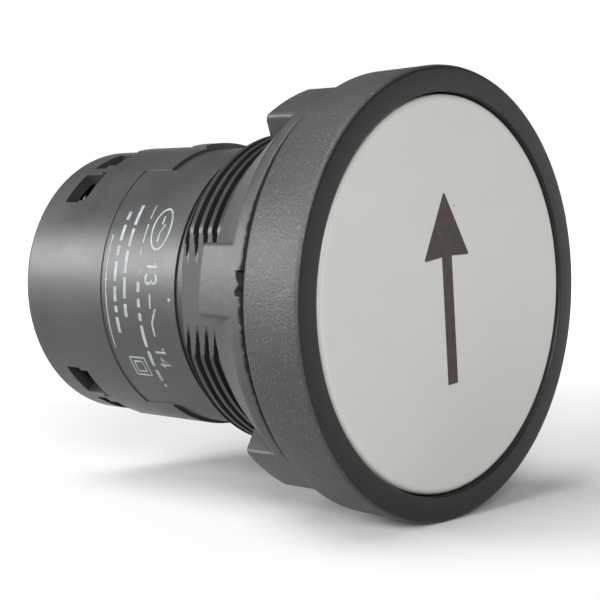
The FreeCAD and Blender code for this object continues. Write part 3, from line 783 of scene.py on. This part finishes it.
def nut_front(angle):
    """The rim's front edge: torn at the gate mark, ragged with flash beside it."""
    slow = noise.noise(Vector((angle * 0.5, 2.3, 1.7)))
    jag = slow + 0.4 * noise.noise(Vector((angle * 1.3, 0.4, 5.1)))
    if GATE_LOW < angle < GATE_HIGH:
        return GATE_FRONT + GATE_WAVE * max(-0.6, slow)
    if FLASH_LOW < angle < FLASH_HIGH:
        return RIM_FRONT + FLASH_WAVE * jag
    return RIM_FRONT + RIM_WAVE * jag


def nut_angles():
    """A grid, fine at the flash and the rounded lug sides, with a pair of angles at every wall."""
    angles = set()
    hair, closest = 0.004, 0.0039
    fine, coarse = 0.35, 1.5
    spread = math.degrees(LUG_ROUNDING / NUT_RADIUS)
    for index in range(6):
        for side in (-1, 1):
            edge = LUG_MIDDLE + 60 * index + side * LUG_ANGLE / 2
            angles |= {edge + side * hair, edge - side * hair}
            angles |= {edge - side * spread * part for part in (0.08, 0.2, 0.38, 0.6, 0.8, 1.0)}
    for edge in (GATE_LOW, GATE_HIGH):
        angles |= {edge - hair, edge + hair}
    flash = FLASH_HIGH - FLASH_LOW
    angles |= {FLASH_LOW + fine * step for step in range(round(flash / fine))}
    angles |= {FLASH_HIGH + coarse * step for step in range(math.ceil((360 - flash) / coarse))}
    kept = []
    for angle in sorted({round((angle + 30) % 360 - 30, 4) for angle in angles}):
        if not kept or angle - kept[-1] > closest:
            kept.append(angle)
    return kept


def make_nut():
    def torn(depth, radius):
        """A row near the front edge, which follows the tear and goes back to even by y = 1."""
        def row(angle):
            edge = nut_front(angle)
            return radius, edge + depth * (1 - (edge - NUT_LOW.y))
        return row

    def level(y):
        return lambda angle: (nut_surface(angle, y), y)

    turn_steps = [(1 - math.cos(math.radians(turn)), 1 - math.sin(math.radians(turn)))
                  for turn in (0, 22, 45, 68, 90)]
    rows = [lambda angle: (NUT_RELIEF, NUT_LOW.y + 0.03)]
    rows += [torn(RIM_ROUNDING * along, NUT_RADIUS - RIM_ROUNDING * across)
             for along, across in turn_steps]
    rows += [torn(depth, NUT_RADIUS) for depth in (0.3, 0.55, 0.8)]
    lug_rows = [LUG_BACK - LUG_ROUNDING + LUG_ROUNDING * part
                for part in (0, 0.25, 0.5, 0.7, 0.85, 0.95, 1.0)]
    slope_rows = [LUG_BACK + 0.06 * step for step in range(1, 9)]
    rows += [level(y) for y in (RIM_END, RIM_END + 0.12, 1.8, 2.4, 3.0, *lug_rows, *slope_rows,
                                4.8, NUT_HIGH.y - 0.12)]
    rows += [
        lambda angle: (HUB_RADIUS - 0.02, NUT_HIGH.y - 0.03),
        lambda angle: (HUB_RADIUS - 0.12, NUT_HIGH.y),
        lambda angle: (NUT_BORE, NUT_HIGH.y),
        lambda angle: (NUT_BORE, NUT_RELIEF_DEPTH),
        lambda angle: (NUT_RELIEF, NUT_RELIEF_DEPTH),
    ]
    piece("fixing_nut_body", *turned(rows, nut_angles()), "nut", "nut_plastic",
          [BLACK_NUT], ["fixing_nut"], smooth=38)


# ---------------------------------------------------------------- barrel

KEY_HALF_ANGLE = 13.4
KEY_RADIUS = 10.4
KEY_FRONT = 15.0
KEY_BACK = 16.4
BEAD_GROOVE = 0.2
BEAD_HALF_WIDTH = 0.3
BACK_ROUNDING = 0.4


def in_label(angle, y):
    return abs(angle) < LABEL_HALF_ANGLE and y < LABEL_BACK


def barrel_outer(angle, y):
    if y < SEAM + SEAM_GAP:
        return BARREL_SPIGOT_RADIUS
    if in_label(angle, y):
        return LABEL_RADIUS
    if y < BARREL_STEP:
        return BARREL_FRONT_RADIUS
    if abs(angle - 90) < KEY_HALF_ANGLE and KEY_FRONT < y < KEY_BACK:
        return KEY_RADIUS
    if y < BARREL_BACK_STEP:
        return BARREL_RADIUS
    past = max(0.0, y - (BARREL_HIGH.y - BACK_ROUNDING))
    return BARREL_BACK_RADIUS - BACK_ROUNDING + math.sqrt(max(0.0, BACK_ROUNDING ** 2 - past ** 2))


def barrel_inner(_, y):
    if y < SEAM + SEAM_GAP:
        return BARREL_SPIGOT_BORE
    return BARREL_BORE + max(0.0, BEAD_GROOVE * (1 - abs(y - COVER_BEAD) / BEAD_HALF_WIDTH))


def in_window(angle, y):
    if not WINDOW_FRONT < y < WINDOW_BACK:
        return False
    offset = abs(abs(angle) - TERMINAL_ANGLE)
    return POST_ANGLE / 2 < offset < POST_ANGLE / 2 + WINDOW_ANGLE


def make_barrel():
    offsets = [POST_ANGLE / 2, POST_ANGLE / 2 + WINDOW_ANGLE]
    windows = [middle + side * offset for middle in (TERMINAL_ANGLE, -TERMINAL_ANGLE)
               for side in (-1, 1) for offset in offsets]
    edges = windows + [-LABEL_HALF_ANGLE, LABEL_HALF_ANGLE, 90 - KEY_HALF_ANGLE, 90 + KEY_HALF_ANGLE]
    rounding = [BARREL_HIGH.y - BACK_ROUNDING * (1 - math.sin(math.radians(turn)))
                for turn in (0, 22, 45, 68, 90)]
    levels = sorted({BARREL_LOW.y, SEAM + SEAM_GAP, SEAM + 0.12, BARREL_STEP, KEY_FRONT, KEY_BACK,
                     LABEL_BACK, WINDOW_FRONT, BARREL_BACK_STEP, WINDOW_BACK,
                     COVER_BEAD - BEAD_HALF_WIDTH, COVER_BEAD,
                     *[round(level, 4) for level in rounding]})
    shell = PolarShell(angle_grid(edges, 1.5), levels, barrel_outer, barrel_inner,
                       lambda angle, y: not in_window(angle, y))
    made = piece("barrel_shell", shell.points, shell.faces, "housing", "black_plastic",
                 [BLACK_BARREL], ["barrel_housing"])
    bevel(made, 0.07)


def make_cover():
    """The rear cover with its two screwdriver holes and raised terminal numbers."""
    low, high = COVER_LOW.y, COVER_HIGH.y
    bead_reach = 0.25
    sunk = high - COVER_RIM_HEIGHT
    outline = [
        (0, low), (COVER_RADIUS, low), (COVER_RADIUS, COVER_BEAD - bead_reach),
        (COVER_HIGH.x, COVER_BEAD), (COVER_RADIUS, COVER_BEAD + bead_reach),
        (COVER_RADIUS, high, 0.15), (COVER_RIM_BORE, high, 0.1), (COVER_RIM_BORE, sunk), (0, sunk),
    ]
    made = piece("rear_cover_disc", *lathe(outline), "housing", "black_plastic",
                 [BLACK_BARREL], ["rear_cover"])
    for word, side in (("upper", 1), ("lower", -1)):
        x, _, z = around(TERMINAL_CIRCLE, TERMINAL_ANGLE * side, 0)
        cut_round_hole(made, f"access_{word}", x, z, low - 1, high + 1, ACCESS_HOLE)
    bevel(made, 0.06)
    number_x, number_z = 1.7, 4.9
    for text, side in (("13", 1), ("14", -1)):
        raised_number(text, number_x, number_z * side, sunk)


def cut_round_hole(made, name, x, z, front, back, radius):
    """Cut a round hole along the axis through a piece, and leave no modifier behind."""
    points, faces = [], []
    add_rod(points, faces, (x, 0, z), front, back, radius, 64)
    cutter = add_mesh(name, points, faces)
    tidy_normals(cutter, 30)
    cut = made.modifiers.new(name, "BOOLEAN")
    cut.operation = "DIFFERENCE"
    cut.solver = "EXACT"
    cut.object = cutter
    result = settled_mesh(made)
    made.modifiers.remove(cut)
    made.data = result
    bpy.data.objects.remove(cutter)
    made.data.set_sharp_from_angle(angle=math.radians(32))


def raised_number(text, x, z, y):
    """A terminal number standing a little out of the rear cover."""
    curve = bpy.data.curves.new(f"number_{text}", "FONT")
    curve.body = text
    curve.size = 2.3 * MM
    curve.extrude = 0.06 * MM
    curve.bevel_depth = 0.015 * MM
    curve.align_x = "CENTER"
    curve.align_y = "CENTER"
    flat = add_object(f"number_{text}_curve", curve)
    mesh = settled_mesh(flat)
    bpy.data.objects.remove(flat)
    for vertex in mesh.vertices:
        across, up, out = vertex.co
        vertex.co = Vector((x * MM - across, y * MM + out, z * MM + up))
    mesh.materials.clear()
    mesh.materials.append(BLACK_BARREL)
    made = add_object(f"number_{text}", mesh)
    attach(made, "housing")


# ---------------------------------------------------------------- printing on the barrel

INK_RADIUS = LABEL_RADIUS + 0.012
DEGREES_PER_MM = math.degrees(1 / INK_RADIUS)
DIGITS = {
    "1": [(0.12, 0.75), (0.42, 1.0), (0.42, 0.0)],
    "3": [(0.0, 0.88), (0.18, 1.0), (0.45, 1.0), (0.6, 0.86), (0.6, 0.66), (0.42, 0.53),
          (0.62, 0.4), (0.62, 0.14), (0.45, 0.0), (0.18, 0.0), (0.0, 0.12)],
    "4": [(0.48, 0.0), (0.48, 1.0), (0.0, 0.3), (0.68, 0.3)],
}


class Print:
    """Strokes of ink on the label patch, as curved ribbons."""

    def __init__(self):
        self.points, self.faces = [], []

    def ribbon(self, path, width):
        """A stroke along a path of (angle, y), as wide as width millimetres."""
        flat = [Vector((angle / DEGREES_PER_MM, y)) for angle, y in path]
        start = len(self.points)
        for index, here in enumerate(flat):
            before = flat[max(index - 1, 0)]
            after = flat[min(index + 1, len(flat) - 1)]
            along = (after - before).normalized()
            side = Vector((-along.y, along.x)) * (width / 2)
            for edge in (here - side, here + side):
                for radius in (LABEL_RADIUS - 0.01, INK_RADIUS):
                    self.points.append(around(radius, edge.x * DEGREES_PER_MM, edge.y))
        for index in range(len(flat) - 1):
            low = start + 4 * index
            for first, second in ((0, 1), (1, 3), (3, 2), (2, 0)):
                self.faces.append([low + first, low + second, low + 4 + second, low + 4 + first])
        self.faces.append([start, start + 1, start + 3, start + 2])
        last = start + 4 * (len(flat) - 1)
        self.faces.append([last, last + 1, last + 3, last + 2])

    def line(self, first, last, width):
        """A straight stroke between two places, in short steps so that it lies on the barrel."""
        steps = math.ceil(max(abs(last[0] - first[0]) / 2.0, 1))
        path = [(first[0] + (last[0] - first[0]) * step / steps,
                 first[1] + (last[1] - first[1]) * step / steps) for step in range(steps + 1)]
        self.ribbon(path, width)

    def oval(self, angle, y, across, along, width):
        """A closed oval: its half widths lie round the barrel and along it."""
        steps = 32
        path = [(angle + across * DEGREES_PER_MM * math.cos(math.tau * step / steps),
                 y + along * math.sin(math.tau * step / steps)) for step in range(steps + 1)]
        self.ribbon(path, width)

    def square(self, angle, y, reach, width):
        """A square outline, reach millimetres from its middle to each side."""
        turn = reach * DEGREES_PER_MM
        corners = [(angle + turn, y - reach), (angle - turn, y - reach),
                   (angle - turn, y + reach), (angle + turn, y + reach)]
        for first, last in zip(corners, corners[1:] + corners[:1]):
            self.line(first, last, width)

    def number(self, text, angle, y, height, width):
        """Digits that read from high angles to low ones, with their feet towards the wiring end."""
        for digit in text:
            self.ribbon([(angle - across * height * DEGREES_PER_MM, y + (0.5 - up) * height)
                         for across, up in DIGITS[digit]], width)
            angle -= 0.9 * height * DEGREES_PER_MM

    def contact(self, angle, y, size, width):
        """The symbol of a make contact: two leads and an open arm."""
        self.line((angle, y), (angle - size, y), width)
        self.line((angle - 2 * size, y), (angle - 3 * size, y), width)
        self.line((angle - size, y - size * 0.085), (angle - 2 * size, y), width)

    def bars(self, top, bottom, y, width, seed):
        """A row of plain bars where a line of small print would stand."""
        chance = random.Random(seed)
        angle = top
        while angle > bottom:
            end = max(bottom, angle - chance.uniform(2.5, 9.0))
            self.line((angle, y), (end, y), width)
            angle = end - chance.uniform(1.6, 2.6)


def make_print():
    """Generic print: contact symbols, terminal numbers, a square mark, plain bars and a ruled line."""
    label = Print()
    rule = SEAM + 6.95
    label.oval(24.7, SEAM + 2.2, 1.5, 0.85, 0.14)
    label.contact(30.0, SEAM + 2.25, 3.6, 0.14)
    label.number("13", 12.0, SEAM + 2.35, 1.05, 0.17)
    label.contact(-1.0, SEAM + 2.45, 5.6, 0.17)
    label.number("14", -22.0, SEAM + 2.35, 1.05, 0.17)
    label.bars(35.0, 14.0, SEAM + 3.65, 0.12, 33)
    label.bars(3.5, -42.0, SEAM + 3.6, 0.3, 8)
    label.bars(35.0, -10.5, SEAM + 5.0, 0.3, 15)
    label.bars(32.0, -17.5, SEAM + 6.0, 0.3, 21)
    label.line((22.0, rule), (4.9, rule), 0.1)
    label.line((3.1, rule), (-24.0, rule), 0.1)
    label.oval(4.0, rule, 0.07, 0.07, 0.1)
    label.oval(-2.8, SEAM + 0.55, 0.07, 0.07, 0.12)
    for reach in (0.75, 0.42):
        label.square(-32.0, SEAM + 5.1, reach, 0.13)
    piece("label_print", label.points, label.faces, "housing", "black_plastic", [PRINT_INK])


# ---------------------------------------------------------------- springs and small parts

# Each coil's mean radius, wire thickness and pitch.
RETURN_COIL = (3.7, 0.6, 1.36)
CONTACT_COIL = (1.35, 0.3, 0.62)


def make_spring(name, node, body, mean_radius, wire, pitch, front, back, shortening, anchor):
    """A round-wire helix from front to back, at one fixed length."""
    turns = (back - front - wire) / pitch
    steps = int(turns * 40)
    sides = 12
    points, faces = [], []
    for step in range(steps + 1):
        part = step / steps
        turn = part * turns * math.tau
        y = front + wire / 2 + part * (back - front - wire)
        for side in range(sides):
            spin = math.tau * side / sides
            radius = mean_radius + wire / 2 * math.cos(spin)
            along = y + wire / 2 * math.sin(spin)
            points.append((radius * math.cos(turn), along, -radius * math.sin(turn)))
    for step in range(steps):
        for side in range(sides):
            after = (side + 1) % sides
            low = step * sides
            faces.append([low + side, low + after, low + sides + after, low + sides + side])
    faces.append(list(range(sides)))
    faces.append([steps * sides + side for side in range(sides)])
    made = piece(name, points, faces, body, "spring_steel", [SPRING_WIRE], [node])
    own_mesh(made)


def make_springs():
    make_spring("return_coil", "return_spring", "housing", *RETURN_COIL,
                RETURN_LOW.y, RETURN_HIGH.y, PRESS_TRAVEL, RETURN_HIGH.y)
    make_spring("contact_coil", "contact_spring", "button", *CONTACT_COIL,
                CONTACT_LOW.y, CONTACT_HIGH.y, PRESS_TRAVEL - BRIDGE_TRAVEL, CONTACT_LOW.y)


def dress_cad_nodes():
    """Materials, and a fine rounding where it shows, for the CAD nodes that stay."""
    finishes = {
        "plunger": NATURAL, "lip_seal": GAP_SHADED_RUBBER, "contact_carrier": BLACK_INNER,
        "terminal_block": BLACK_INNER, "contact_bridge": COPPER, "fixed_contact_upper": COPPER,
        "fixed_contact_lower": COPPER, "bridge_contact_tips": SILVER, "fixed_contact_tips": SILVER,
    }
    for word in ("upper", "lower"):
        for part in ("terminal_clamp", "spring_washer", "terminal_screw"):
            finishes[f"{part}_{word}"] = ZINC
    for name, material in finishes.items():
        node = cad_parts[name]
        for slot in node.material_slots:
            slot.link = "OBJECT"
            slot.material = material
        if material is ZINC:
            bevel(node, 0.06)


# ---------------------------------------------------------------- studio

VIEW_AZIMUTH = -47.8
VIEW_ELEVATION = 3.45
VIEW_DISTANCE = 102.9
VIEW_TARGET = (0.0, 8.05, -0.84)
LENS = 87.6
LIGHT_TARGET = (0.0, 10.0, 0.0)


def outward(azimuth, elevation):
    """The direction out from the button at two angles; azimuth 0 is in front of the cap."""
    turn, rise = math.radians(azimuth), math.radians(elevation)
    return Vector((math.sin(turn) * math.cos(rise), -math.cos(turn) * math.cos(rise),
                   math.sin(rise)))


def face_inward(made, out):
    """Turn a camera or a light so that it looks against the given direction."""
    made.rotation_mode = "QUATERNION"
    made.rotation_quaternion = (-out).to_track_quat("-Z", "Y")


def make_camera():
    """Close to the button, from its front left and a little above, looking at its axis."""
    out = outward(VIEW_AZIMUTH, VIEW_ELEVATION)
    data = bpy.data.cameras.new("camera")
    data.lens = LENS
    data.sensor_width = 36.0
    data.clip_start, data.clip_end = 0.005, 20.0
    camera = add_object("camera", data)
    camera.location = (Vector(VIEW_TARGET) + out * VIEW_DISTANCE) * MM
    face_inward(camera, out)
    bpy.context.scene.camera = camera


def area_light(name, azimuth, elevation, distance, width, height, power):
    """A white softbox at an angle round the button, facing it."""
    out = outward(azimuth, elevation)
    data = bpy.data.lights.new(name, "AREA")
    data.shape = "RECTANGLE"
    data.size, data.size_y = width * MM, height * MM
    data.energy = power
    light = add_object(name, data)
    light.location = (Vector(LIGHT_TARGET) + out * distance) * MM
    face_inward(light, out)


def sun_light(name, azimuth, elevation, spread, strength):
    """A broad distant light."""
    data = bpy.data.lights.new(name, "SUN")
    data.energy = strength
    data.angle = math.radians(spread)
    face_inward(add_object(name, data), outward(azimuth, elevation))


def make_floor():
    """A wide pale floor under the bezel's lowest point, darker near the button by painted shade."""
    half = 4000
    near_reach = 250
    corners = [(-half, -half), (half, -half), (half, half), (-half, half)]
    floor = add_mesh("floor", [(x, y, BEZEL_LOW.z) for x, y in corners], [(0, 1, 2, 3)])
    m = Nodes("pale_floor")
    cloud = m.noise(0.004, detail=2.0)
    near = m.add("TexGradient", gradient_type="SPHERICAL")
    m.link(m.stretched([1 / (near_reach * MM)] * 3), near.inputs["Vector"])
    # Painted shade: the floor's colour is darker near the button, deepening the shadows around it.
    base = m.ramp(near.outputs["Fac"], [(0.0, 0.88), (0.75, 0.52)])
    base = m.blend(0.3, base, m.ramp(cloud, [(0.3, 0.94), (0.7, 1.0)]), "MULTIPLY")
    rough = m.ramp(cloud, [(0.3, 0.85), (0.7, 0.92)])
    floor.data.materials.append(m.finish(base, rough, Specular_IOR_Level=0.1))


def make_world():
    """A surround that is white at the horizon and much dimmer overhead."""
    world = bpy.data.worlds.new("studio")
    world.use_nodes = True
    tree = world.node_tree
    place = tree.nodes.new("ShaderNodeTexCoord")
    parts = tree.nodes.new("ShaderNodeSeparateXYZ")
    ramp = tree.nodes.new("ShaderNodeValToRGB")
    low, high = ramp.color_ramp.elements
    low.position, low.color = 0.2, (1.0, 1.0, 1.0, 1)
    high.position, high.color = 0.34, (0.2, 0.2, 0.2, 1)
    tree.links.new(place.outputs["Generated"], parts.inputs[0])
    tree.links.new(parts.outputs["Z"], ramp.inputs["Fac"])
    background = tree.nodes["Background"]
    tree.links.new(ramp.outputs["Color"], background.inputs["Color"])
    background.inputs["Strength"].default_value = 1.05
    bpy.context.scene.world = world


def make_studio():
    make_world()
    make_floor()
    sun_light("left_sun", -82, 25, 22, 2.3)
    sun_light("near_sun", -46, 24, 22, 2.5)
    sun_light("top_sun", -122, 64, 40, 2.7)
    area_light("strip_back_left", -132, 15, 450, 260, 160, 2.0)
    bpy.context.scene.view_settings.view_transform = "Standard"


# ---------------------------------------------------------------- making

make_camera()
make_studio()
make_bezel()
make_cap()
make_arrow()
make_gasket()
make_collar()
make_nut()
make_barrel()
make_print()
make_cover()
make_springs()
dress_cad_nodes()
